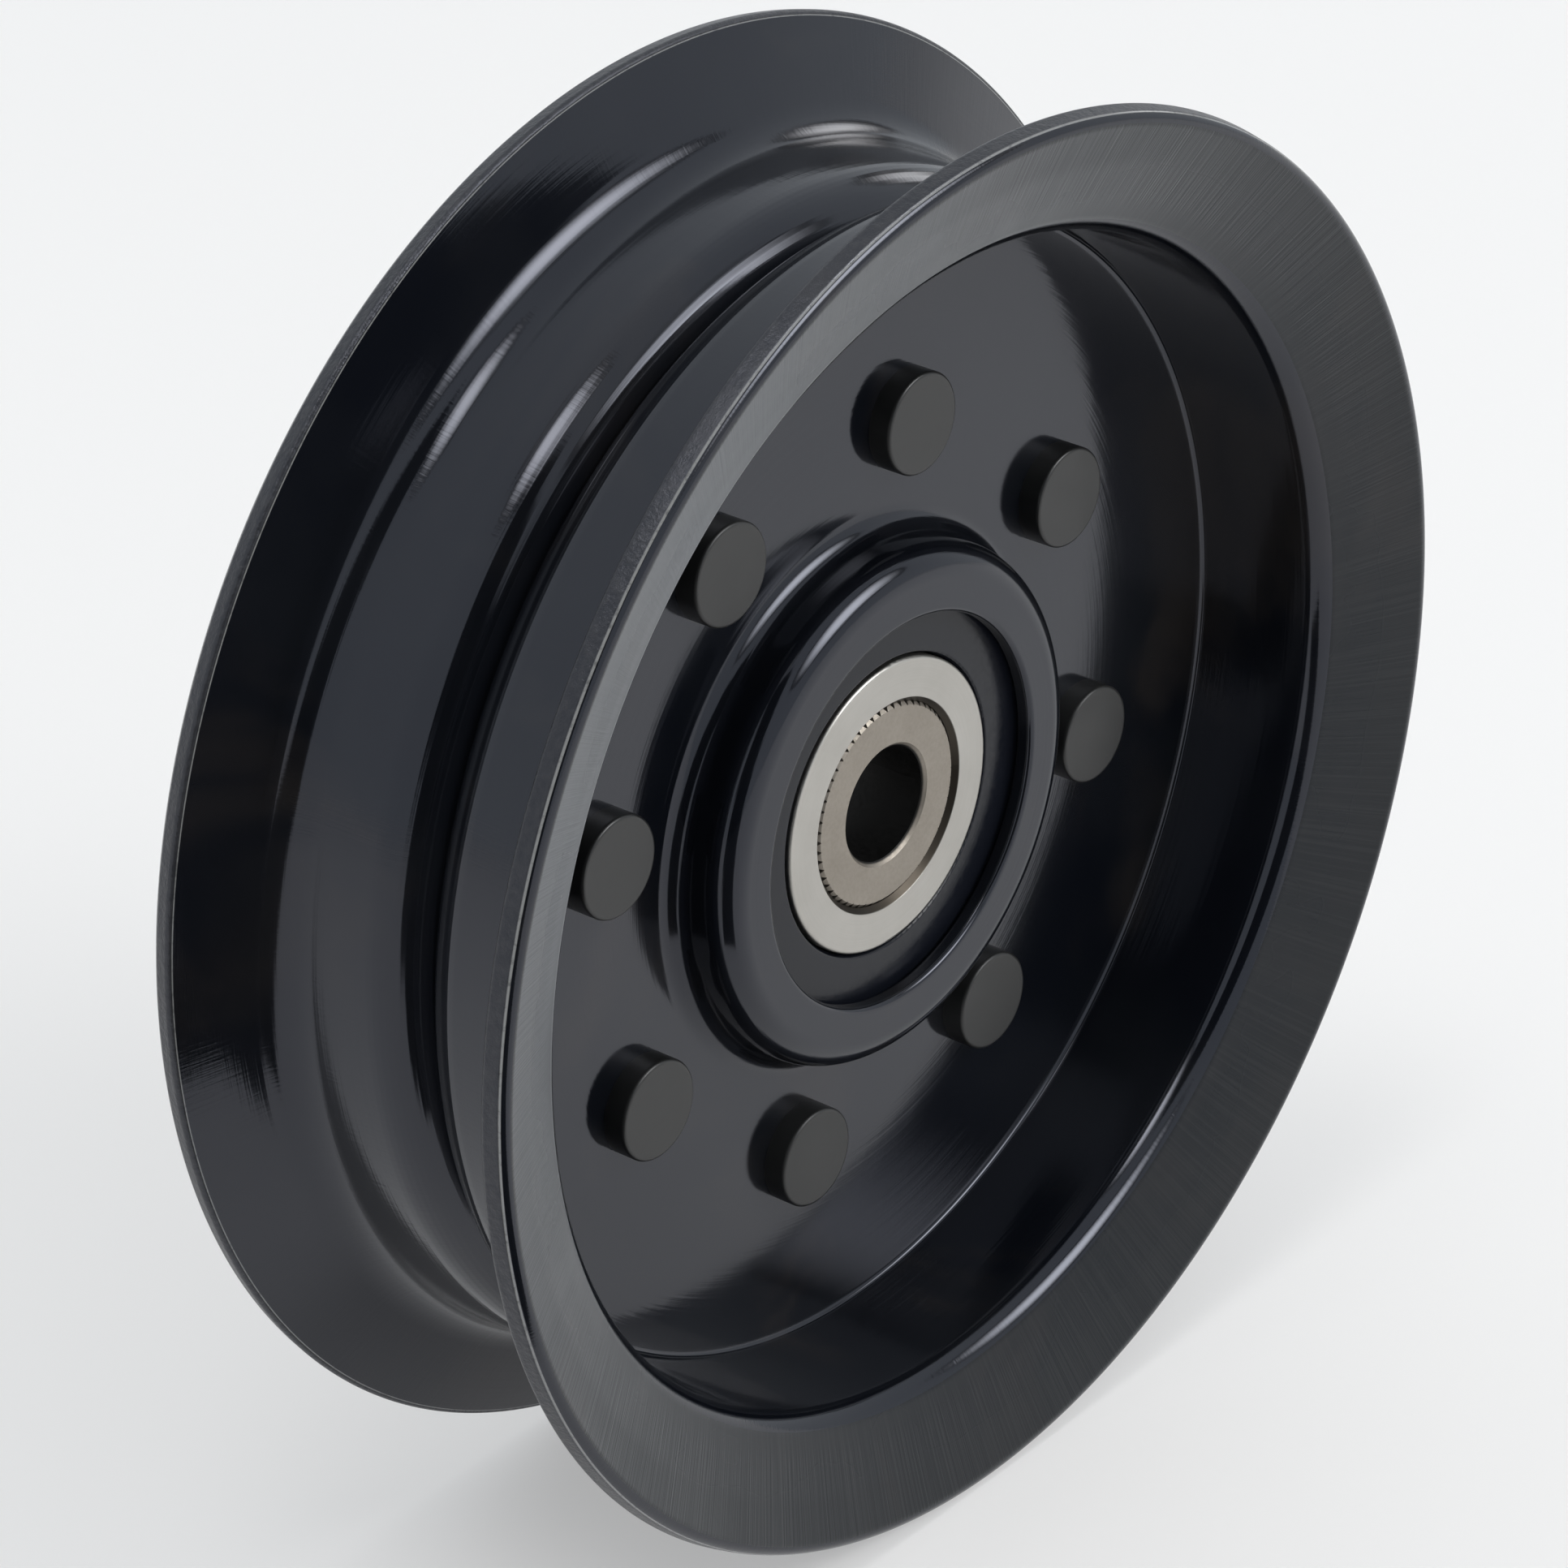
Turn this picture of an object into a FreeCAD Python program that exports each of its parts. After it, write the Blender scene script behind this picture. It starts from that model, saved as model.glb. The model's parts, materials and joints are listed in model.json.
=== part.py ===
import FreeCAD, Part
import math
import os
import Sketcher

# Flat idler pulley.  Two equal stamped steel halves stand back to back and are
# riveted through their webs.  Their hubs hold a sealed 17 x 40 x 12 ball bearing,
# and a straight-knurled bushing reduces its bore to a bolt size.
# Millimetres.  The axis is Y, the front is -Y, and the webs meet at y = 0.

VALUES = {
    # stamped half, drawn open towards +Y
    "sheet": 2.0,
    "hub_wall": 1.6,
    "rim_face_radius": 58.0,
    "rim_face_height": 17.6,
    "rim_radius": 58.5,
    "rim_back_height": 15.4,
    "mouth_radius": 47.9,
    "mouth_height": 13.4,
    "channel_radius": 49.6,
    "channel_height": 11.95,
    "wall_foot_radius": 47.1,
    "belt_foot_radius": 48.75,
    "hub_radius": 21.6,
    "hub_height": 7.6,
    "lip_radius": 16.2,
    "mouth_bend": 2.5,
    "channel_bend": 4.0,
    "wall_foot_bend": 0.5,
    "shoulder_bend": 4.6,
    "hub_top_bend": 2.4,
    "pocket_bend": 0.8,
    "hub_foot_bend": 2.0,
    "pocket_mouth_bend": 2.6,
    "lip_edge_round": 0.5,
    "rim_face_round": 0.9,
    "rim_edge_round": 0.4,
    # rivets through the webs
    "rivet_count": 8,
    "rivet_circle": 30.56,
    "rivet_angle": 33.0,
    "rivet_shank": 2.5,
    "rivet_head": 4.2,
    "rivet_top": 4.0,
    "rivet_round": 0.3,
    # ball bearing
    "bearing_half": 6.0,
    "outer_ring_radius": 20.0,
    "outer_land": 16.6,
    "outer_face_bore": 17.2,
    "seal_seat_radius": 17.6,
    "seal_seat_near": 4.6,
    "seal_seat_far": 5.4,
    "ring_corner": 1.0,
    "inner_ring_radius": 12.25,
    "inner_ring_bore": 8.5,
    "inner_corner": 0.3,
    "bore_corner": 0.45,
    "race_radius": 3.5,
    "outer_race_centre": 14.12,
    "inner_race_centre": 14.38,
    "pitch_radius": 14.25,
    "ball_radius": 3.25,
    "ball_count": 8,
    # ball cage
    "cage_inner": 13.35,
    "cage_outer": 15.15,
    "cage_sheet": 0.8,
    "cage_depth": 4.3,
    "pocket_inner": 3.4,
    "pocket_outer": 4.2,
    "cage_rivet_shank": 0.5,
    "cage_rivet_head": 0.9,
    "cage_rivet_top": 1.15,
    # seals
    "seal_face": 5.8,
    "seal_back": 4.9,
    "seal_core_front": 5.2,
    "seal_bore": 12.6,
    "seal_lip": 12.37,
    "seal_lip_top": 5.3,
    "seal_core_inner": 13.2,
    "seal_core_outer": 16.5,
    "seal_rim": 17.1,
    "seal_round": 0.2,
    # bushing
    "bushing_half": 5.75,
    "bushing_bore": 4.8,
    "bushing_chamfer": 0.35,
    "bushing_rim_chamfer": 0.3,
    "knurl_count": 60,
    "knurl_depth": 0.38,
    "knurl_half_width": 0.4,
    "knurl_reach": 8.7,
}

doc = FreeCAD.newDocument("idler_pulley")
params = doc.addObject("Spreadsheet::Sheet", "Params")
for row, (alias, amount) in enumerate(VALUES.items(), start=1):
    params.set(f"A{row}", alias)
    params.set(f"B{row}", str(amount))
    params.setAlias(f"B{row}", alias)
doc.recompute()

nodes = []


def number(text):
    """Value of a sum of parameter names such as 'hub_radius - sheet'."""
    total = 0.0
    sign = 1.0
    for word in text.split():
        if word == "+":
            sign = 1.0
        elif word == "-":
            sign = -1.0
        else:
            total += sign * VALUES[word]
            sign = 1.0
    return total


def bound(text):
    """The same sum written as a spreadsheet expression."""
    words = [word if word in ("+", "-") else f"Params.{word}" for word in text.split()]
    return " ".join(words)


def origin_item(body, role):
    """Origin plane or axis of a body, found by its role."""
    for item in body.Origin.OriginFeatures:
        if item.Role == role:
            return item
    raise RuntimeError(f"{body.Label} has no {role}")


def new_body(label):
    body = doc.addObject("PartDesign::Body", label)
    body.Label = label
    nodes.append(body)
    return body


def new_sketch(body, name, role):
    sketch = body.newObject("Sketcher::SketchObject", name)
    sketch.AttachmentSupport = (origin_item(body, role), [""])
    sketch.MapMode = "FlatFace"
    return sketch


def pin_point(sketch, geometry, point, across, along):
    """Hold a sketch point at the given distances; an empty string means on the axis."""
    for kind, text, axis in (("DistanceX", across, -2), ("DistanceY", along, -1)):
        if text == "":
            sketch.addConstraint(Sketcher.Constraint("PointOnObject", geometry, point, axis))
            continue
        rule = Sketcher.Constraint(kind, -1, 1, geometry, point, number(text))
        index = sketch.addConstraint(rule)
        sketch.setExpression(f"Constraints[{index}]", bound(text))


def draw_outline(body, name, role, corners):
    """Closed outline of straight lines with every corner tied to the parameters."""
    sketch = new_sketch(body, name, role)
    points = []
    for across, along in corners:
        points.append(FreeCAD.Vector(number(across), number(along), 0))
    count = len(points)
    for i in range(count):
        sketch.addGeometry(Part.LineSegment(points[i], points[(i + 1) % count]), False)
    for i in range(count):
        sketch.addConstraint(Sketcher.Constraint("Coincident", i, 2, (i + 1) % count, 1))
    for i, (across, along) in enumerate(corners):
        pin_point(sketch, i, 1, across, along)
    return sketch


def draw_circle(body, name, role, across, along, radius):
    """One circle with its centre and radius tied to the parameters."""
    sketch = new_sketch(body, name, role)
    centre = FreeCAD.Vector(number(across), number(along), 0)
    normal = FreeCAD.Vector(0, 0, 1)
    sketch.addGeometry(Part.Circle(centre, normal, number(radius)), False)
    pin_point(sketch, 0, 3, across, along)
    index = sketch.addConstraint(Sketcher.Constraint("Radius", 0, number(radius)))
    sketch.setExpression(f"Constraints[{index}]", bound(radius))
    return sketch


def spin_profile(body, name, sketch, kind):
    """Turn a sketch on the XY plane once round the Y axis."""
    feature = body.newObject(kind, name)
    feature.Profile = sketch
    feature.ReferenceAxis = (sketch, ["V_Axis"])
    feature.Angle = 360.0
    body.Tip = feature
    doc.recompute()
    return feature


def circle_edges(shape, radius, height):
    """Names of the circular edges round the Y axis at a radius and height."""
    names = []
    for index, edge in enumerate(shape.Edges, start=1):
        curve = edge.Curve
        if not isinstance(curve, Part.Circle):
            continue
        off_axis = math.hypot(curve.Center.x, curve.Center.z)
        same_place = off_axis < 1e-4 and abs(curve.Center.y - height) < 1e-4
        if same_place and abs(curve.Radius - radius) < 1e-4:
            names.append(f"Edge{index}")
    return names


def soften(body, kind, name, places, size):
    """Fillet or chamfer the circular edges at the given (radius, height) places."""
    base = body.Tip
    names = []
    for across, along in places:
        found = circle_edges(base.Shape, number(across), number(along))
        if not found:
            raise RuntimeError(f"{body.Label}: no edge at {across}, {along}")
        names.extend(found)
    feature = body.newObject(kind, name)
    feature.Base = (base, names)
    quantity = "Radius" if kind == "PartDesign::Fillet" else "Size"
    setattr(feature, quantity, number(size))
    feature.setExpression(quantity, bound(size))
    body.Tip = feature
    doc.recompute()
    return feature


def cut_through(body, name, sketch):
    """Pocket that runs right through the body, both ways from its sketch."""
    before = body.Shape.Volume
    pocket = body.newObject("PartDesign::Pocket", name)
    pocket.Profile = sketch
    pocket.SideType = "Symmetric"
    pocket.Type = "ThroughAll"
    body.Tip = pocket
    doc.recompute()
    if body.Shape.Volume >= before:
        raise RuntimeError(f"{body.Label}: {name} removed nothing")
    return pocket


def repeat_round(body, name, feature, count):
    """Polar pattern of one feature round the Y axis."""
    before = body.Shape.Volume
    pattern = body.newObject("PartDesign::PolarPattern", name)
    pattern.Originals = [feature]
    pattern.Axis = (origin_item(body, "Y_Axis"), [""])
    pattern.Angle = 360.0
    pattern.Occurrences = int(number(count))
    pattern.setExpression("Occurrences", bound(count))
    body.Tip = pattern
    doc.recompute()
    if body.Shape.Volume >= before:
        raise RuntimeError(f"{body.Label}: {name} removed nothing")
    return pattern


def place_on_circle(part, circle, angle):
    """Set a part down on a circle in the XZ plane, at an angle from +X towards +Z."""
    part.setExpression("Placement.Base.x", f"Params.{circle} * cos({angle} deg)")
    part.setExpression("Placement.Base.z", f"Params.{circle} * sin({angle} deg)")


def flip_over(angle):
    """Half turn round the diameter that stands at an angle from +X towards +Z."""
    tilt = math.radians(angle)
    diameter = FreeCAD.Vector(math.cos(tilt), 0, math.sin(tilt))
    return FreeCAD.Placement(FreeCAD.Vector(0, 0, 0), FreeCAD.Rotation(diameter, 180))


def make_shell(label):
    """Stamped half: hub with turned-in lip, flat web, belt wall and flared flange."""
    body = new_body(label)
    outline = [
        ("lip_radius", "hub_height"),
        ("hub_radius", "hub_height"),
        ("hub_radius", "sheet"),
        ("wall_foot_radius", "sheet"),
        ("mouth_radius", "mouth_height"),
        ("rim_face_radius", "rim_face_height"),
        ("rim_radius", "rim_back_height"),
        ("channel_radius", "channel_height"),
        ("belt_foot_radius", ""),
        ("hub_radius - hub_wall", ""),
        ("hub_radius - hub_wall", "hub_height - hub_wall"),
        ("lip_radius", "hub_height - hub_wall"),
    ]
    sketch = draw_outline(body, f"{label}_section", "XY_Plane", outline)
    spin_profile(body, f"{label}_pressing", sketch, "PartDesign::Revolution")
    fillet = "PartDesign::Fillet"
    soften(body, fillet, f"{label}_mouth", [outline[4]], "mouth_bend")
    soften(body, fillet, f"{label}_channel", [outline[7]], "channel_bend")
    soften(body, fillet, f"{label}_wall_foot", [outline[3]], "wall_foot_bend")
    soften(body, fillet, f"{label}_shoulder", [outline[8]], "shoulder_bend")
    soften(body, fillet, f"{label}_hub_top", [outline[1]], "hub_top_bend")
    soften(body, fillet, f"{label}_pocket", [outline[10]], "pocket_bend")
    soften(body, fillet, f"{label}_hub_foot", [outline[2]], "hub_foot_bend")
    soften(body, fillet, f"{label}_pocket_mouth", [outline[9]], "pocket_mouth_bend")
    soften(body, fillet, f"{label}_lip_edge", [outline[0], outline[11]], "lip_edge_round")
    soften(body, fillet, f"{label}_rim_face", [outline[5]], "rim_face_round")
    soften(body, fillet, f"{label}_rim_edge", [outline[6]], "rim_edge_round")
    # The first hole stands on the sketch's own X axis; the pattern is turned by the placement.
    hole = draw_circle(body, f"{label}_hole_sketch", "XZ_Plane", "rivet_circle", "", "rivet_shank")
    first = cut_through(body, f"{label}_hole", hole)
    repeat_round(body, f"{label}_holes", first, "rivet_count")
    return body


def make_rivet(label, angle):
    """Rivet with a flat round head on each side of the joined webs."""
    body = new_body(label)
    outline = [
        ("", "- rivet_top"),
        ("rivet_head", "- rivet_top"),
        ("rivet_head", "- sheet"),
        ("rivet_shank", "- sheet"),
        ("rivet_shank", "sheet"),
        ("rivet_head", "sheet"),
        ("rivet_head", "rivet_top"),
        ("", "rivet_top"),
    ]
    sketch = draw_outline(body, f"{label}_section", "XY_Plane", outline)
    spin_profile(body, f"{label}_turned", sketch, "PartDesign::Revolution")
    rims = [outline[1], outline[6]]
    soften(body, "PartDesign::Fillet", f"{label}_rims", rims, "rivet_round")
    place_on_circle(body, "rivet_circle", angle)
    return body


def make_outer_ring(label):
    """Outer ring with a raceway and a seal seat at each end."""
    body = new_body(label)
    rear = [
        ("outer_land", "seal_seat_near"),
        ("seal_seat_radius", "seal_seat_near"),
        ("seal_seat_radius", "seal_seat_far"),
        ("outer_face_bore", "seal_seat_far"),
        ("outer_face_bore", "bearing_half"),
        ("outer_ring_radius", "bearing_half"),
    ]
    front = [(across, f"- {along}") for across, along in reversed(rear)]
    sketch = draw_outline(body, f"{label}_section", "XY_Plane", rear + front)
    spin_profile(body, f"{label}_blank", sketch, "PartDesign::Revolution")
    race = draw_circle(body, f"{label}_race_sketch", "XY_Plane", "outer_race_centre", "",
                       "race_radius")
    spin_profile(body, f"{label}_race", race, "PartDesign::Groove")
    corners = [("outer_ring_radius", "bearing_half"), ("outer_ring_radius", "- bearing_half")]
    soften(body, "PartDesign::Fillet", f"{label}_corners", corners, "ring_corner")
    return body


def make_inner_ring(label):
    """Inner ring with a raceway, rounded shoulders and a chamfered bore."""
    body = new_body(label)
    outline = [
        ("inner_ring_bore", "- bearing_half"),
        ("inner_ring_radius", "- bearing_half"),
        ("inner_ring_radius", "bearing_half"),
        ("inner_ring_bore", "bearing_half"),
    ]
    sketch = draw_outline(body, f"{label}_section", "XY_Plane", outline)
    spin_profile(body, f"{label}_blank", sketch, "PartDesign::Revolution")
    race = draw_circle(body, f"{label}_race_sketch", "XY_Plane", "inner_race_centre", "",
                       "race_radius")
    spin_profile(body, f"{label}_race", race, "PartDesign::Groove")
    soften(body, "PartDesign::Fillet", f"{label}_corners", outline[1:3], "inner_corner")
    bore = [outline[0], outline[3]]
    soften(body, "PartDesign::Chamfer", f"{label}_bore_edges", bore, "bore_corner")
    return body


def make_bushing(label):
    """Sleeve with a straight knurl outside and a plain bolt bore."""
    body = new_body(label)
    outline = [
        ("bushing_bore", "- bushing_half"),
        ("inner_ring_bore", "- bushing_half"),
        ("inner_ring_bore", "bushing_half"),
        ("bushing_bore", "bushing_half"),
    ]
    sketch = draw_outline(body, f"{label}_section", "XY_Plane", outline)
    spin_profile(body, f"{label}_blank", sketch, "PartDesign::Revolution")
    chamfer = "PartDesign::Chamfer"
    soften(body, chamfer, f"{label}_bore_edges", [outline[0], outline[3]], "bushing_chamfer")
    soften(body, chamfer, f"{label}_rim_edges", outline[1:3], "bushing_rim_chamfer")
    tooth = [
        ("inner_ring_bore - knurl_depth", ""),
        ("knurl_reach", "knurl_half_width"),
        ("knurl_reach", "- knurl_half_width"),
    ]
    notch = draw_outline(body, f"{label}_notch_sketch", "XZ_Plane", tooth)
    first = cut_through(body, f"{label}_notch", notch)
    repeat_round(body, f"{label}_knurl", first, "knurl_count")
    return body


def make_seal(label):
    """Rubber seal: thick lip near the inner ring, thin face, bead in the outer ring."""
    body = new_body(label)
    outline = [
        ("seal_bore", "seal_face"),
        ("seal_rim", "seal_face"),
        ("seal_rim", "seal_seat_far"),
        ("seal_seat_radius", "seal_seat_far"),
        ("seal_seat_radius", "seal_seat_near"),
        ("seal_core_outer", "seal_back"),
        ("seal_core_outer", "seal_core_front"),
        ("seal_core_inner", "seal_core_front"),
        ("seal_core_inner", "seal_back"),
        ("seal_lip", "seal_back"),
        ("seal_lip", "seal_lip_top"),
    ]
    sketch = draw_outline(body, f"{label}_section", "XY_Plane", outline)
    spin_profile(body, f"{label}_moulded", sketch, "PartDesign::Revolution")
    edges = [outline[0], outline[1]]
    soften(body, "PartDesign::Fillet", f"{label}_face_edges", edges, "seal_round")
    return body


def make_seal_core(label):
    """Steel washer that stiffens a seal from behind."""
    body = new_body(label)
    outline = [
        ("seal_core_inner", "seal_back"),
        ("seal_core_outer", "seal_back"),
        ("seal_core_outer", "seal_core_front"),
        ("seal_core_inner", "seal_core_front"),
    ]
    sketch = draw_outline(body, f"{label}_section", "XY_Plane", outline)
    spin_profile(body, f"{label}_washer", sketch, "PartDesign::Revolution")
    return body


def make_cage_rivet(label, angle):
    """Small rivet that joins the two cage halves between two balls."""
    body = new_body(label)
    outline = [
        ("", "- cage_rivet_top"),
        ("cage_rivet_head", "- cage_rivet_top"),
        ("cage_rivet_head", "- cage_sheet"),
        ("cage_rivet_shank", "- cage_sheet"),
        ("cage_rivet_shank", "cage_sheet"),
        ("cage_rivet_head", "cage_sheet"),
        ("cage_rivet_head", "cage_rivet_top"),
        ("", "cage_rivet_top"),
    ]
    sketch = draw_outline(body, f"{label}_section", "XY_Plane", outline)
    spin_profile(body, f"{label}_turned", sketch, "PartDesign::Revolution")
    place_on_circle(body, "pitch_radius", angle)
    return body


def make_ball(label, radius, angle):
    """Sphere on the pitch circle of the bearing."""
    ball = doc.addObject("Part::Sphere", label)
    ball.Label = label
    ball.setExpression("Radius", f"Params.{radius}")
    place_on_circle(ball, "pitch_radius", angle)
    return ball


def make_drum(label, radius, depth):
    """Cylinder round the Y axis that stands from y = 0 towards +Y."""
    drum = doc.addObject("Part::Cylinder", label)
    drum.setExpression("Radius", f"Params.{radius}")
    drum.setExpression("Height", f"Params.{depth}")
    drum.Placement.Rotation = FreeCAD.Rotation(FreeCAD.Vector(1, 0, 0), -90)
    return drum


def make_rod(label, radius, depth, angle):
    """Short cylinder along Y on the pitch circle, from y = 0 towards +Y."""
    rod = make_drum(label, radius, depth)
    place_on_circle(rod, "pitch_radius", angle)
    return rod


def join(label, parts):
    fused = doc.addObject("Part::MultiFuse", label)
    fused.Shapes = parts
    return fused


def overlap(label, parts):
    shared = doc.addObject("Part::MultiCommon", label)
    shared.Shapes = parts
    return shared


def subtract(label, base, tool):
    result = doc.addObject("Part::Cut", label)
    result.Base = base
    result.Tool = tool
    return result


def make_cage_half(label, ball_angles, rivet_angles):
    """Pressed ribbon half on the +Y side, with a round pocket over every ball."""
    domes = []
    hollows = []
    for index, angle in enumerate(ball_angles, start=1):
        domes.append(make_ball(f"{label}_dome_{index}", "pocket_outer", angle))
        hollows.append(make_ball(f"{label}_hollow_{index}", "pocket_inner", angle))
    holes = []
    for index, angle in enumerate(rivet_angles, start=1):
        holes.append(make_rod(f"{label}_hole_{index}", "cage_rivet_shank", "cage_depth", angle))
    disc = make_drum(f"{label}_disc", "cage_outer", "cage_sheet")
    raised = join(f"{label}_raised", [disc] + domes)
    outside = make_drum(f"{label}_outside", "cage_outer", "cage_depth")
    inside = make_drum(f"{label}_inside", "cage_inner", "cage_depth")
    band = subtract(f"{label}_band", outside, inside)
    ribbon = overlap(f"{label}_ribbon", [raised, band])
    voids = join(f"{label}_voids", hollows + holes)
    cage = subtract(label, ribbon, voids)
    cage.Label = label
    nodes.append(cage)
    return cage


def angles_round(count, start):
    step = 360.0 / count
    return [start + step * index for index in range(count)]


rivet_angles = angles_round(VALUES["rivet_count"], VALUES["rivet_angle"])
ball_angles = angles_round(VALUES["ball_count"], 0.0)
gap_angles = angles_round(VALUES["ball_count"], 180.0 / VALUES["ball_count"])

# Both halves come from the same tool.  Each is turned so that the rivet holes line up.
rear_shell = make_shell("rear_shell")
rear_turn = FreeCAD.Rotation(FreeCAD.Vector(0, 1, 0), -VALUES["rivet_angle"])
rear_shell.Placement = FreeCAD.Placement(FreeCAD.Vector(0, 0, 0), rear_turn)
front_shell = make_shell("front_shell")
front_shell.Placement = flip_over(VALUES["rivet_angle"]).multiply(rear_shell.Placement)

for index, angle in enumerate(rivet_angles, start=1):
    make_rivet(f"rivet_{index}", angle)

make_outer_ring("bearing_outer_ring")
make_inner_ring("bearing_inner_ring")
for index, angle in enumerate(ball_angles, start=1):
    nodes.append(make_ball(f"ball_{index}", "ball_radius", angle))

flip = flip_over(0.0)
make_cage_half("cage_rear", ball_angles, gap_angles)
cage_front = make_cage_half("cage_front", ball_angles, gap_angles)
cage_front.Placement = flip
for index, angle in enumerate(gap_angles, start=1):
    make_cage_rivet(f"cage_rivet_{index}", angle)

make_seal("seal_rear_rubber")
make_seal_core("seal_rear_core")
seal_front_rubber = make_seal("seal_front_rubber")
seal_front_rubber.Placement = flip
seal_front_core = make_seal_core("seal_front_core")
seal_front_core.Placement = flip

make_bushing("bushing")

doc.recompute()
for item in doc.Objects:
    if "Invalid" in item.State or "Error" in item.State:
        raise RuntimeError(f"{item.Label} did not compute: {item.State}")

os.makedirs("parts", exist_ok=True)
for node in nodes:
    shape = node.Shape
    if shape.isNull() or not shape.isValid():
        raise RuntimeError(f"{node.Label} has no valid shape")
    shape.exportStep(f"parts/{node.Label}.step")
    box = shape.BoundBox
    print(f"{node.Label}: {len(shape.Solids)} solid, {shape.Volume:.1f} mm3,"
          f" x {box.XMin:.2f}..{box.XMax:.2f}, y {box.YMin:.2f}..{box.YMax:.2f},"
          f" z {box.ZMin:.2f}..{box.ZMax:.2f}")
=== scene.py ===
import json
import math

import bpy
import numpy as np
from mathutils import Matrix, Vector


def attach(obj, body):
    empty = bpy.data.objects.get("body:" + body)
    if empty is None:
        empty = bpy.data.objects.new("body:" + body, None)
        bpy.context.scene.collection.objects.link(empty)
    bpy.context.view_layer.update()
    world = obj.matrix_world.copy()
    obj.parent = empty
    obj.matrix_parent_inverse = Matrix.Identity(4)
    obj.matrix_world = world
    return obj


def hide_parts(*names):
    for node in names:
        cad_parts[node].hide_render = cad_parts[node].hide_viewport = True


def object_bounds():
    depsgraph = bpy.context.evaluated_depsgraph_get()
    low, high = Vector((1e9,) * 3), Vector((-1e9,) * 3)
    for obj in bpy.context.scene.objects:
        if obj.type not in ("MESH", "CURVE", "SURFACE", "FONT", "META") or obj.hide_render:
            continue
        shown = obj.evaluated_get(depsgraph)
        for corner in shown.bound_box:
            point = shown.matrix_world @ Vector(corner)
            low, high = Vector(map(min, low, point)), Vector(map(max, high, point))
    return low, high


# Flat idler pulley: axis along Y, front face towards -Y, +Z up.
# Profiles, radii and bump depths are in millimetres, everything else is in metres.

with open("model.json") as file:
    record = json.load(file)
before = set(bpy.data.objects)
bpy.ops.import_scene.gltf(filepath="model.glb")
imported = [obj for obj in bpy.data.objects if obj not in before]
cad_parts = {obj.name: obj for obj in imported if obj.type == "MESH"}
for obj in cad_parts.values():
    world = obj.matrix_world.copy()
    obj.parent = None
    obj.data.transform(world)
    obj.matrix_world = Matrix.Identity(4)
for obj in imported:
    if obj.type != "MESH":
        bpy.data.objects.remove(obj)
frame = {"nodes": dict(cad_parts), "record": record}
cad_box = [list(corner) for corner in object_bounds()]

MM = 0.001
SHARP_ANGLE = math.radians(40.0)    # edges between faces steeper than this stay sharp
MIX_A, MIX_B, MIX_RESULT = 6, 7, 2  # colour sockets of a Mix node


# ---------------------------------------------------------------- profiles

def rounded(corners, step_deg=7.0):
    """Closed outline from (radius, height, bend) corners, with arcs at the bends, in mm."""
    points = []
    count = len(corners)
    for i in range(count):
        before = np.array(corners[i - 1][:2], float)
        here = np.array(corners[i][:2], float)
        after = np.array(corners[(i + 1) % count][:2], float)
        bend = corners[i][2]
        if bend == 0:
            points.append(tuple(here))
            continue
        back = (before - here) / np.linalg.norm(before - here)
        ahead = (after - here) / np.linalg.norm(after - here)
        half = math.acos(float(np.clip(back @ ahead, -1, 1))) / 2
        middle = (back + ahead) / np.linalg.norm(back + ahead)
        centre = here + middle * bend / math.sin(half)
        start = here + back * bend / math.tan(half) - centre
        end = here + ahead * bend / math.tan(half) - centre
        turn = math.pi - 2 * half
        side = math.copysign(1, start[0] * end[1] - start[1] * end[0])
        steps = max(3, math.ceil(math.degrees(turn) / step_deg))
        for k in range(steps + 1):
            angle = side * turn * k / steps
            c, s = math.cos(angle), math.sin(angle)
            arc = centre + np.array((c * start[0] - s * start[1], s * start[0] + c * start[1]))
            points.append(tuple(arc))
    return points


def supported(points, near=0.12, reach=1.2):
    """Extra points along the straight runs, so that shading stays flat beside each bend."""
    result = []
    count = len(points)
    for i in range(count):
        a = np.array(points[i], float)
        b = np.array(points[(i + 1) % count], float)
        length = float(np.linalg.norm(b - a))
        result.append(tuple(a))
        if length < 4 * near:
            continue
        count_along = max(2, int(length / reach) + 1)
        for mark in np.linspace(near, length - near, count_along):
            result.append(tuple(a + (b - a) * mark / length))
    return result


def lathe(name, outline, turns):
    """Closed ring or disc: the (radius, height) outline in mm turned round the Y axis."""
    on_axis = [r < 1e-6 for r, _ in outline]
    count = len(outline)
    verts = []
    index = []
    for (r, y), central in zip(outline, on_axis):
        if central:
            index.append([len(verts)] * turns)
            verts.append((0.0, y * MM, 0.0))
            continue
        row = []
        for k in range(turns):
            angle = 2 * math.pi * k / turns
            row.append(len(verts))
            verts.append((r * MM * math.cos(angle), y * MM, r * MM * math.sin(angle)))
        index.append(row)
    faces = []
    for i in range(count):
        j = (i + 1) % count
        if on_axis[i] and on_axis[j]:
            continue
        for k in range(turns):
            n = (k + 1) % turns
            ring = [index[i][k], index[i][n], index[j][n], index[j][k]]
            faces.append([v for m, v in enumerate(ring) if v not in ring[:m]])
    return mesh_object(name, verts, faces)


def mesh_object(name, verts, faces):
    """New smooth-shaded object in the scene, in metres."""
    mesh = bpy.data.meshes.new(name)
    mesh.from_pydata(verts, [], faces)
    mesh.validate()
    mesh.polygons.foreach_set("use_smooth", [True] * len(mesh.polygons))
    mesh.set_sharp_from_angle(angle=SHARP_ANGLE)
    mesh.update()
    thing = bpy.data.objects.new(name, mesh)
    bpy.context.scene.collection.objects.link(thing)
    return thing


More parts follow.
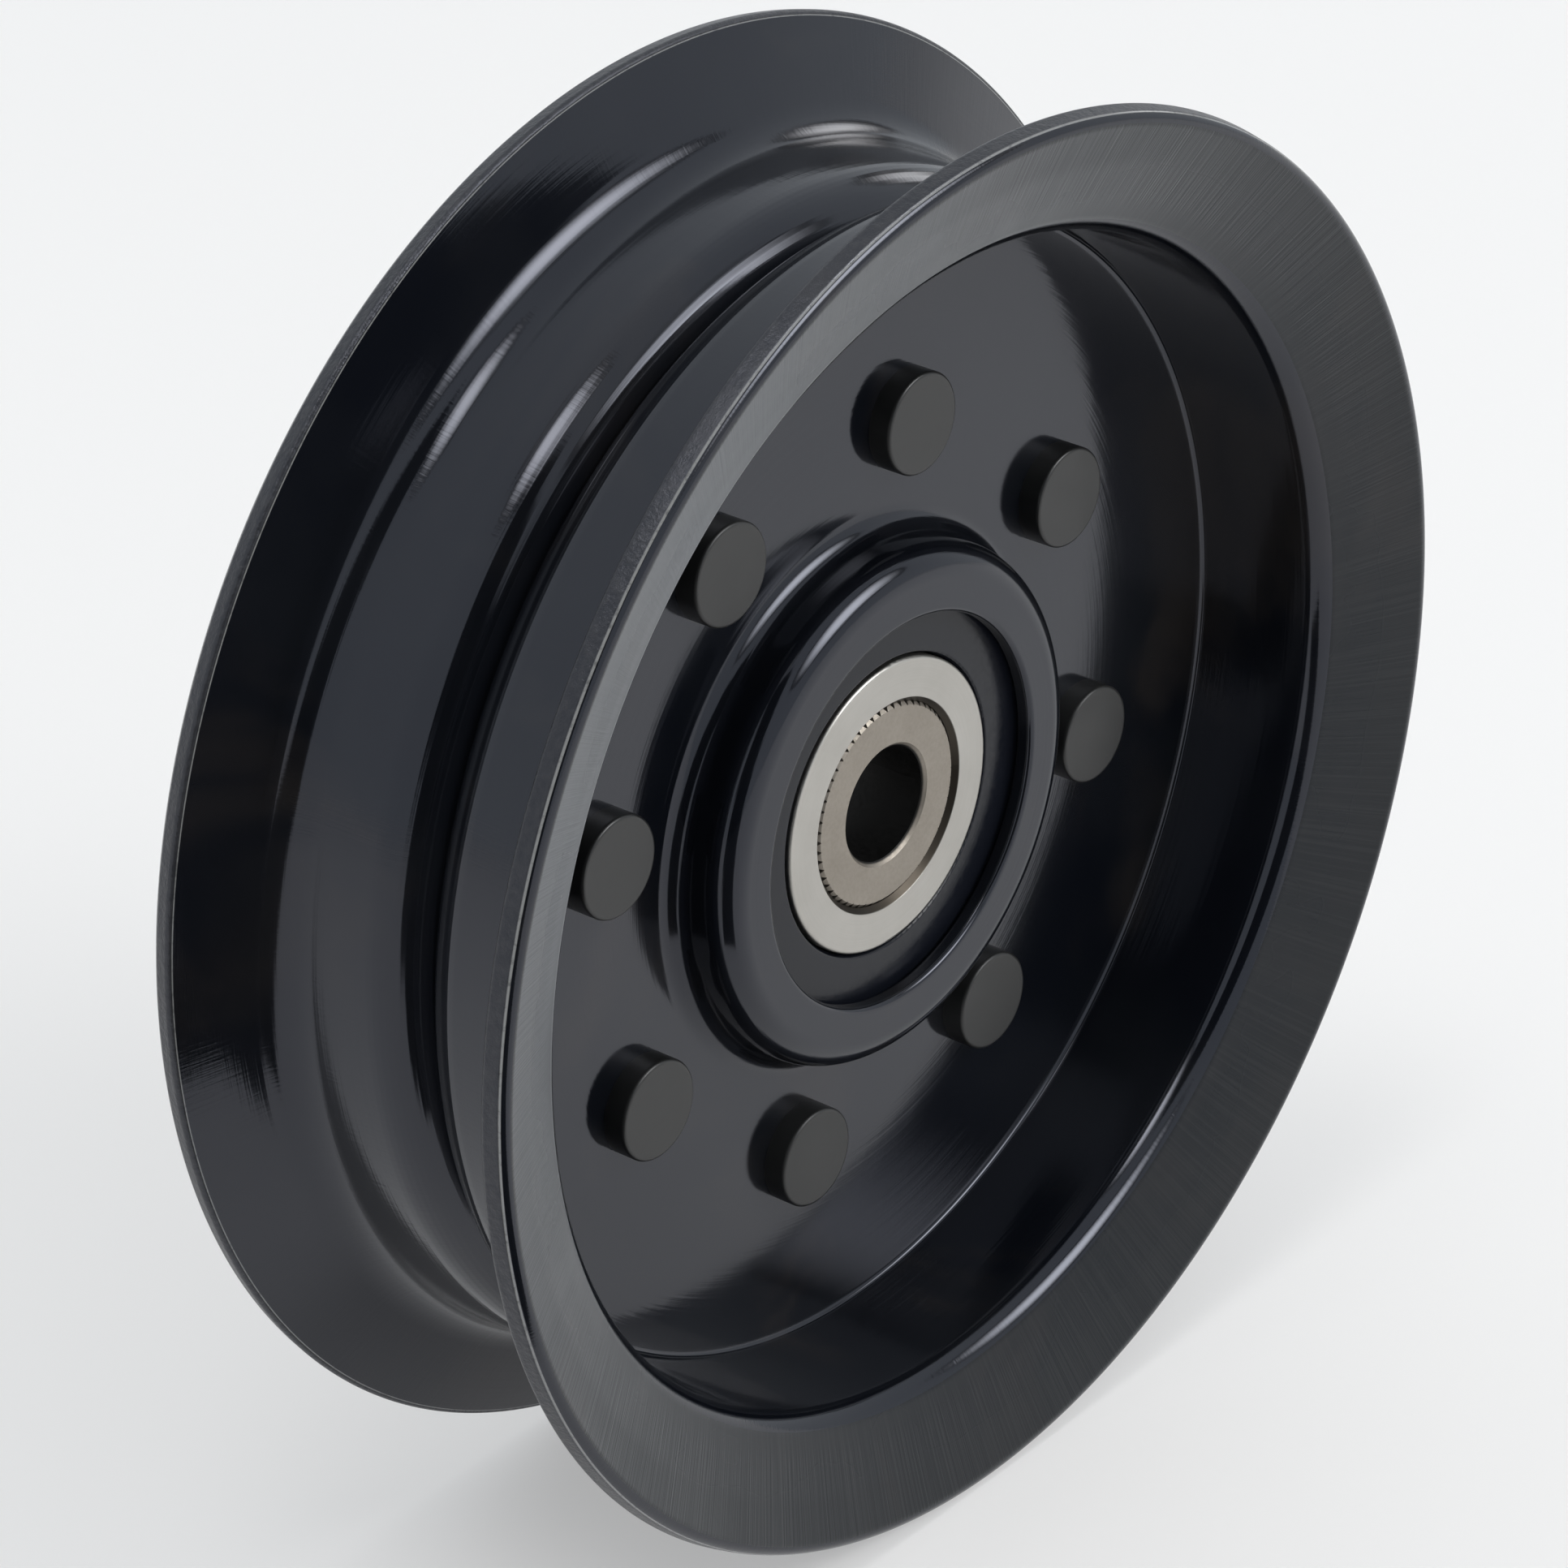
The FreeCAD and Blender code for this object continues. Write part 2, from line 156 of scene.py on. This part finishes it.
def face_outwards(thing):
    """Turn the faces so that the enclosed volume is positive."""
    mesh = thing.data
    mesh.calc_loop_triangles()
    co = np.empty(len(mesh.vertices) * 3)
    mesh.vertices.foreach_get("co", co)
    co = co.reshape(-1, 3)
    tri = np.empty(len(mesh.loop_triangles) * 3, int)
    mesh.loop_triangles.foreach_get("vertices", tri)
    a, b, c = (co[tri.reshape(-1, 3)[:, k]] for k in range(3))
    if float(np.einsum("ij,ij->i", a, np.cross(b, c)).sum()) < 0:
        mesh.flip_normals()
        mesh.update()


def place(thing, matrix, body, node, material):
    """Bake the placement into the mesh and let the piece stand for its CAD node."""
    thing.data.transform(matrix)
    face_outwards(thing)
    thing.data.materials.clear()
    thing.data.materials.append(material)
    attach(thing, body)
    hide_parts(node)


# ---------------------------------------------------------------- materials

# radii in mm over which a material changes
BELT_WALL = (47.6, 48.6)
STRETCHED = (49.5, 51.5)
OUTER_FLANGE = (53.0, 54.6)
# painted highlight: a light band along the rim's front corner
CORNER_HIGHLIGHT = (58.02, 58.06)
TORN_BAND = (58.12, 58.18)
# painted shade on the ring's bore chamfer, next to the sleeve
RING_CHAMFER = (8.88, 9.0)
# painted shade inside the sleeve's bore
BUSHING_BORE = (4.85, 5.0)


class Nodes:
    """Short spelling for building one material's node graph."""

    def __init__(self, name):
        self.material = bpy.data.materials.new(name)
        self.material.use_nodes = True
        self.tree = self.material.node_tree
        self.shader = self.tree.nodes["Principled BSDF"]
        self.coords = self.add("ShaderNodeTexCoord").outputs["Object"]

    def add(self, kind, **settings):
        node = self.tree.nodes.new(kind)
        for key, value in settings.items():
            setattr(node, key, value)
        return node

    def link(self, source, target):
        """Set a socket to a number or a colour, or join it to another socket."""
        if isinstance(source, (int, float)):
            target.default_value = source
        elif isinstance(source, tuple):
            same_length = len(source) == len(target.default_value)
            target.default_value = source if same_length else (*source, 1)
        else:
            self.tree.links.new(source, target)

    def math(self, operation, a, b=0.0):
        node = self.add("ShaderNodeMath", operation=operation)
        for value, socket in zip((a, b), node.inputs):
            self.link(value, socket)
        return node.outputs[0]

    def noise(self, vector, scale, detail=2.0, rough=0.5, distort=0.0):
        node = self.add("ShaderNodeTexNoise")
        self.link(vector, node.inputs["Vector"])
        node.inputs["Scale"].default_value = scale
        node.inputs["Detail"].default_value = detail
        node.inputs["Roughness"].default_value = rough
        node.inputs["Distortion"].default_value = distort
        return node.outputs["Fac"]

    def vector(self, x, y, z):
        node = self.add("ShaderNodeCombineXYZ")
        for value, socket in zip((x, y, z), node.inputs):
            self.link(value, socket)
        return node.outputs[0]

    def remap(self, value, low, high, out_low, out_high):
        node = self.add("ShaderNodeMapRange", interpolation_type="SMOOTHSTEP")
        for item, socket in zip((value, low, high, out_low, out_high), node.inputs):
            self.link(item, socket)
        return node.outputs["Result"]

    def mix(self, share, a, b):
        node = self.add("ShaderNodeMix", data_type="RGBA")
        self.link(share, node.inputs["Factor"])
        self.link(a, node.inputs[MIX_A])
        self.link(b, node.inputs[MIX_B])
        return node.outputs[MIX_RESULT]

    def bump(self, height, distance_mm, below=None):
        """Full-strength bump, on top of the one below it."""
        node = self.add("ShaderNodeBump")
        node.inputs["Strength"].default_value = 1.0
        node.inputs["Distance"].default_value = distance_mm * MM
        self.link(height, node.inputs["Height"])
        if below is not None:
            self.link(below, node.inputs["Normal"])
        return node.outputs["Normal"]

    def round_axis(self):
        """Radius in mm, angle in radians and height in mm, measured round the Y axis."""
        split = self.add("ShaderNodeSeparateXYZ")
        self.link(self.coords, split.inputs[0])
        x, y, z = split.outputs
        square = self.math("ADD", self.math("MULTIPLY", x, x), self.math("MULTIPLY", z, z))
        radius = self.math("MULTIPLY", self.math("SQRT", square), 1 / MM)
        angle = self.math("ARCTAN2", z, x)
        return radius, angle, self.math("MULTIPLY", y, 1 / MM)

    def radius(self):
        """Distance in mm from the Y axis."""
        return self.round_axis()[0]

    def circle_vector(self, radius_scale, y_scale, around):
        """Noise coordinates stretched so that 'around' sets how fast they change with angle."""
        radius, angle, height = self.round_axis()
        cos = self.math("MULTIPLY", self.math("COSINE", angle), around)
        sin = self.math("MULTIPLY", self.math("SINE", angle), around)
        both = self.math("ADD", self.math("MULTIPLY", radius, radius_scale),
                         self.math("MULTIPLY", height, y_scale))
        return self.vector(cos, sin, both)


def finish_shader(n, color, roughness, normal=None, metallic=0.0, ior=1.5):
    """Set the shader's main inputs and hand back the material."""
    n.link(color, n.shader.inputs["Base Color"])
    n.link(roughness, n.shader.inputs["Roughness"])
    n.shader.inputs["Metallic"].default_value = metallic
    n.shader.inputs["IOR"].default_value = ior
    if normal is not None:
        n.link(normal, n.shader.inputs["Normal"])
    return n.material


def paint_gloss():
    """Black gloss paint over drawn steel: tool rings, orange peel, worn sheared rim, and a
    painted highlight along the rim's front corner.
    """
    n = Nodes("paint_gloss")
    radius = n.radius()
    broad = n.noise(n.coords, 45.0, 3.0, 0.55)
    peel = n.noise(n.coords, 700.0, 2.0, 0.5)
    fine = n.noise(n.coords, 3800.0, 2.0, 0.6)
    rings = n.noise(n.circle_vector(2.2, 2.2, 0.5), 1.0, 3.0, 0.6)
    marks = n.noise(n.circle_vector(0.12, 0.12, 190.0), 1.0, 3.0, 0.6)
    on_wall = n.remap(radius, *BELT_WALL, 0.0, 1.0)
    # the sheared rim: a painted highlight at the front corner, then a rough torn band
    torn = n.remap(radius, *TORN_BAND, 0.0, 1.0)
    line = n.math("SUBTRACT", n.remap(radius, *CORNER_HIGHLIGHT, 0.0, 1.0), torn)
    tear = n.noise(n.circle_vector(0.0, 1.6, 70.0), 1.0, 4.0, 0.7)
    normal = n.bump(peel, 0.004)
    normal = n.bump(fine, 0.0006, normal)
    normal = n.bump(rings, 0.008, normal)
    normal = n.bump(n.math("MULTIPLY", marks, on_wall), 0.008, normal)
    normal = n.bump(n.math("MULTIPLY", tear, torn), 0.12, normal)
    tone = n.remap(broad, 0.35, 0.65, 0.0, 1.0)
    color = n.mix(tone, (0.003, 0.0036, 0.0054), (0.0055, 0.0062, 0.0078))
    cloud = n.noise(n.coords, 34.0, 4.0, 0.6, 0.8)
    color = n.mix(n.remap(cloud, 0.52, 0.72, 0.0, 0.8), color, (0.0155, 0.0135, 0.0125))
    torn_share = n.math("MULTIPLY", torn, n.remap(tear, 0.35, 0.7, 0.35, 1.0))
    color = n.mix(torn_share, color, (0.02, 0.0195, 0.0195))
    # painted highlight along the rim's front corner, broken up by the tear noise
    line_share = n.math("MULTIPLY", line, n.remap(tear, 0.3, 0.5, 0.5, 1.0))
    color = n.mix(line_share, color, (0.2, 0.2, 0.195))
    gloss = n.remap(broad, 0.3, 0.7, 0.08, 0.14)
    roughness = n.math("ADD", gloss, n.math("MULTIPLY", torn, 0.24))
    n.shader.inputs["Specular Tint"].default_value = (0.84, 0.87, 1.0, 1.0)
    return finish_shader(n, color, roughness, normal, ior=1.55)


def paint_dry():
    """The same paint where the flange was stretched: drier, with fine marks running outwards."""
    n = Nodes("paint_dry")
    radius = n.radius()
    broad = n.noise(n.coords, 60.0, 3.0, 0.55)
    peel = n.noise(n.coords, 900.0, 2.0, 0.5)
    marks = n.noise(n.circle_vector(0.05, 0.02, 210.0), 1.0, 3.0, 0.6)
    outer = n.remap(radius, *OUTER_FLANGE, 0.0, 1.0)
    stretched = n.remap(radius, *STRETCHED, 0.0, 1.0)
    normal = n.bump(peel, 0.004)
    normal = n.bump(n.math("MULTIPLY", marks, stretched), 0.035, normal)
    color = n.mix(outer, (0.003, 0.0034, 0.0042), (0.0045, 0.0047, 0.005))
    color = n.mix(n.remap(marks, 0.45, 0.65, 0.0, 0.6), color, (0.012, 0.0122, 0.0125))
    cloud = n.noise(n.coords, 38.0, 4.0, 0.6, 0.8)
    color = n.mix(n.remap(cloud, 0.46, 0.7, 0.0, 0.9), color, (0.0135, 0.0118, 0.0112))
    gloss = n.remap(broad, 0.35, 0.65, 0.18, 0.32)
    roughness = n.math("ADD", gloss, n.math("MULTIPLY", outer, 0.14))
    n.shader.inputs["Specular Tint"].default_value = (0.86, 0.92, 1.0, 1.0)
    n.shader.inputs["Sheen Weight"].default_value = 0.9
    n.shader.inputs["Sheen Roughness"].default_value = 0.34
    n.shader.inputs["Sheen Tint"].default_value = (0.95, 0.97, 1.0, 1.0)
    return finish_shader(n, color, roughness, normal, ior=1.37)


def paint_rivet():
    """Satin dark paint of the rivet heads."""
    n = Nodes("paint_rivet")
    broad = n.noise(n.coords, 120.0, 3.0, 0.55)
    peel = n.noise(n.coords, 1200.0, 2.0, 0.5)
    normal = n.bump(peel, 0.006)
    tone = n.remap(broad, 0.35, 0.65, 0.0, 1.0)
    color = n.mix(tone, (0.009, 0.009, 0.0088), (0.014, 0.014, 0.0136))
    return finish_shader(n, color, n.remap(broad, 0.3, 0.7, 0.28, 0.42), normal)


def ground_steel():
    """Bearing ring: bright satin steel with fine turning lines, and painted shade on the bore
    chamfer next to the sleeve.
    """
    n = Nodes("ground_steel")
    lines = n.noise(n.circle_vector(14.0, 14.0, 1.2), 1.0, 3.0, 0.7)
    broad = n.noise(n.coords, 160.0, 3.0, 0.6)
    normal = n.bump(lines, 0.004)
    face = n.mix(broad, (0.39, 0.375, 0.345), (0.5, 0.485, 0.455))
    # painted shade: the bore chamfer is darkened for the shaded gap between ring and sleeve
    chamfer = n.remap(n.radius(), *RING_CHAMFER, 1.0, 0.0)
    color = n.mix(chamfer, face, (0.05, 0.043, 0.035))
    return finish_shader(n, color, n.remap(lines, 0.3, 0.7, 0.3, 0.44), normal, metallic=1.0)


def bushing_steel():
    """Sleeve: beige-grey bare steel, a little mottled, with painted shade in the bore."""
    n = Nodes("bushing_steel")
    lines = n.noise(n.circle_vector(9.0, 9.0, 1.5), 1.0, 3.0, 0.7)
    grain = n.noise(n.coords, 2600.0, 3.0, 0.65)
    broad = n.noise(n.coords, 260.0, 3.0, 0.6)
    normal = n.bump(grain, 0.006, n.bump(lines, 0.004))
    steel = n.mix(broad, (0.25, 0.222, 0.187), (0.33, 0.298, 0.257))
    # painted shade: the bore is darkened as a hole that lies in shade
    bore = n.remap(n.radius(), *BUSHING_BORE, 1.0, 0.0)
    color = n.mix(bore, steel, (0.02, 0.019, 0.018))
    return finish_shader(n, color, n.remap(grain, 0.3, 0.7, 0.38, 0.55), normal, metallic=0.85)


def seal_rubber():
    """Smooth black rubber with moulding rings."""
    n = Nodes("seal_rubber")
    rings = n.noise(n.circle_vector(3.0, 3.0, 0.8), 1.0, 2.0, 0.5)
    grain = n.noise(n.coords, 2200.0, 2.0, 0.5)
    normal = n.bump(grain, 0.0012, n.bump(rings, 0.006))
    color = n.mix(rings, (0.004, 0.005, 0.008), (0.008, 0.009, 0.013))
    return finish_shader(n, color, n.remap(grain, 0.3, 0.7, 0.16, 0.26), normal, ior=1.34)


def plain_metal(name, dark, light, smooth, rough, scale=900.0):
    """Unpolished or polished steel of the parts inside the bearing."""
    n = Nodes(name)
    grain = n.noise(n.coords, scale, 3.0, 0.6)
    normal = n.bump(grain, 0.003)
    color = n.mix(grain, dark, light)
    return finish_shader(n, color, n.remap(grain, 0.3, 0.7, smooth, rough), normal, metallic=1.0)


MATERIALS = {
    "painted_shell": paint_gloss(),
    "dry_flange": paint_dry(),
    "painted_rivet": paint_rivet(),
    "ground_steel": ground_steel(),
    "bushing_steel": bushing_steel(),
    "seal_rubber": seal_rubber(),
    "polished_ball": plain_metal(
        "polished_ball", (0.72, 0.72, 0.72), (0.8, 0.8, 0.79), 0.05, 0.1, scale=2500.0),
    "pressed_cage": plain_metal(
        "pressed_cage", (0.36, 0.345, 0.32), (0.46, 0.44, 0.41), 0.3, 0.45),
    "seal_core": plain_metal(
        "seal_core", (0.34, 0.34, 0.34), (0.44, 0.44, 0.43), 0.35, 0.5),
}
# every CAD node takes the material of its slot; the shells and web rivets are replaced below
for entry in frame["record"]["subparts"]:
    target = frame["nodes"][entry["node"]]
    target.data.materials.clear()
    target.data.materials.append(MATERIALS[entry["material_slot"]])


# ---------------------------------------------------------------- visible pieces

FLIP = Matrix.Rotation(math.pi, 4, "X")  # turns the rear half into the front half
DRY_FROM, DRY_TO = 49.2, 57.3           # radii between which the flange's cup side has dry paint
SHELL_TURNS = 512

# (radius, height, bend) round one half, from the lip over hub, web, cup wall, flange and rim,
# then back along the belt side
SHELL = [
    (16.2, 7.6, 0.5), (21.6, 7.6, 2.4), (21.6, 2.0, 2.0), (47.1, 2.0, 0.5), (47.9, 13.4, 2.5),
    (58.0, 17.6, 0.9), (58.5, 15.4, 0.4), (49.6, 11.95, 4.0), (48.75, 0.0, 4.6),
    (20.0, 0.0, 2.6), (20.0, 6.0, 0.8), (16.2, 6.0, 0.5),
]
for side, turn in (("rear", Matrix.Identity(4)), ("front", FLIP)):
    shell = lathe(f"{side}_pressing", supported(rounded(SHELL)), SHELL_TURNS)
    place(shell, turn, "pulley", f"{side}_shell", MATERIALS["painted_shell"])
    shell.data.materials.append(MATERIALS["dry_flange"])
    for face in shell.data.polygons:
        radius = math.hypot(face.center.x, face.center.z) / MM
        on_cup_side = face.normal.y * face.center.y > 0
        face.material_index = 1 if on_cup_side and DRY_FROM < radius < DRY_TO else 0

RIVET_COUNT = 8
RIVET_CIRCLE = 30.56
RIVET_ANGLE = 33.0
RIVET_TURNS = 96

# (radius, height, bend): a shank through both webs, with a flat head on each side
RIVET = [
    (0.0, -4.0, 0), (4.2, -4.0, 0.3), (4.2, -2.0, 0), (2.5, -2.0, 0),
    (2.5, 2.0, 0), (4.2, 2.0, 0), (4.2, 4.0, 0.3), (0.0, 4.0, 0),
]
for i in range(RIVET_COUNT):
    angle = math.radians(RIVET_ANGLE + 360.0 / RIVET_COUNT * i)
    spot = Vector((RIVET_CIRCLE * MM * math.cos(angle), 0, RIVET_CIRCLE * MM * math.sin(angle)))
    outline = supported(rounded(RIVET, step_deg=15.0), near=0.08, reach=0.8)
    rivet = lathe(f"web_rivet_{i + 1}", outline, RIVET_TURNS)
    place(rivet, Matrix.Translation(spot), "pulley", f"rivet_{i + 1}",
          MATERIALS["painted_rivet"])


# ---------------------------------------------------------------- floor, light, camera

FLOOR_HALF = 6.0
CARD_EDGES = 48
CARD_CORE = 0.15                    # share of a card's radius that glows at full strength
FLAG_ANGLES = range(208, 244, 5)    # degrees round Z, on the camera's side
FLAG_GAP = 0.0005                   # between the flag and the floor
CAMERA_PLACE = (-0.33722, -0.27087, 0.22756)


def floor_material():
    """Pale plain floor that glows a little, so that the contact shadow stays soft."""
    n = Nodes("pale_floor")
    tone = n.noise(n.coords, 3.0, 2.0, 0.5)
    color = n.mix(tone, (0.49, 0.48, 0.47), (0.51, 0.5, 0.49))
    n.shader.inputs["Emission Color"].default_value = (1.0, 1.0, 1.0, 1)
    n.shader.inputs["Emission Strength"].default_value = 0.34
    return finish_shader(n, color, 0.6)


def glow_card(name, place_at, half_width, half_height, strength, color=(1, 1, 1)):
    """Studio card that glows most in the middle and fades to nothing at its edge."""
    angles = [2 * math.pi * k / CARD_EDGES for k in range(CARD_EDGES)]
    verts = [(half_width * math.cos(a), half_height * math.sin(a), 0) for a in angles]
    card = mesh_object(name, verts, [tuple(range(CARD_EDGES))])
    card.location = place_at
    card.rotation_euler = (-Vector(place_at)).to_track_quat("-Z", "Y").to_euler()
    n = Nodes(f"{name}_glow")
    split = n.add("ShaderNodeSeparateXYZ")
    n.link(n.coords, split.inputs[0])
    u = n.math("DIVIDE", split.outputs[0], half_width)
    v = n.math("DIVIDE", split.outputs[1], half_height)
    square = n.math("ADD", n.math("MULTIPLY", u, u), n.math("MULTIPLY", v, v))
    reach = n.math("SQRT", square)
    glow = n.remap(reach, CARD_CORE, 1.0, strength, 0.0)
    n.link(glow, n.shader.inputs["Emission Strength"])
    n.shader.inputs["Emission Color"].default_value = (*color, 1)
    n.link(n.mix(reach, (0.0, 0.0, 0.0), (0.01, 0.01, 0.01)), n.shader.inputs["Base Color"])
    card.data.materials.append(n.material)


def dark_flag(floor_height):
    """Black sheet on the floor and behind the camera, seen only in reflections."""
    angles = [math.radians(a) for a in FLAG_ANGLES]
    foot = floor_height + FLAG_GAP
    # (distance from the Z axis, height): out along the floor, up and back overhead
    rows = [(0.08, foot), (1.5, foot), (1.5, 0.9), (0.8, 1.3)]
    verts = [(r * math.cos(a), r * math.sin(a), z) for r, z in rows for a in angles]
    wide = len(angles)
    faces = []
    for first in range(0, (len(rows) - 1) * wide, wide):
        for k in range(first, first + wide - 1):
            faces.append((k, k + 1, k + 1 + wide, k + wide))
    flag = mesh_object("dark_flag", verts, faces)
    n = Nodes("black_cloth")
    weave = n.noise(n.coords, 60.0, 2.0, 0.5)
    color = n.mix(weave, (0.003, 0.003, 0.003), (0.006, 0.006, 0.006))
    flag.data.materials.append(finish_shader(n, color, 0.9))
    flag.visible_camera = False
    flag.visible_diffuse = False
    flag.visible_shadow = False


lowest = min(cad_box[0][2], cad_box[1][2])
quarters = ((-1, -1), (1, -1), (1, 1), (-1, 1))
corners = [(x * FLOOR_HALF, y * FLOOR_HALF, lowest) for x, y in quarters]
ground = mesh_object("floor", corners, [(0, 1, 2, 3)])
ground.data.materials.append(floor_material())

glow_card("key_card", (-0.48, -0.12, 1.4), 0.45, 0.45, 8.0)
glow_card("front_card", (0.5, -1.1, 0.9), 0.8, 0.5, 9.0, (0.98, 0.99, 1.0))
glow_card("right_card", (1.4, 0.18, 0.55), 0.32, 0.32, 3.5)
dark_flag(lowest)

world = bpy.data.worlds.new("studio")
world.use_nodes = True
backdrop = world.node_tree.nodes["Background"]
backdrop.inputs["Color"].default_value = (0.9, 0.95, 1.0, 1)
backdrop.inputs["Strength"].default_value = 0.8
bpy.context.scene.world = world
bpy.context.scene.view_settings.view_transform = "Standard"

# the camera looks down at the front face from the belt side
azimuth = math.radians(-50.754)
elevation = math.radians(27.756)
right = Vector((math.cos(azimuth), math.sin(azimuth), 0))
up = Vector((
    -math.sin(azimuth) * math.sin(elevation),
    math.cos(azimuth) * math.sin(elevation),
    math.cos(elevation),
))
back = right.cross(up)
lens = bpy.data.cameras.new("camera")
lens.sensor_width = 36.0
lens.lens = 142.6
lens.clip_start = 0.01
camera = bpy.data.objects.new("camera", lens)
axes = Matrix((right, up, back)).transposed().to_4x4()
camera.matrix_world = Matrix.Translation(CAMERA_PLACE) @ axes
bpy.context.scene.collection.objects.link(camera)
bpy.context.scene.camera = camera
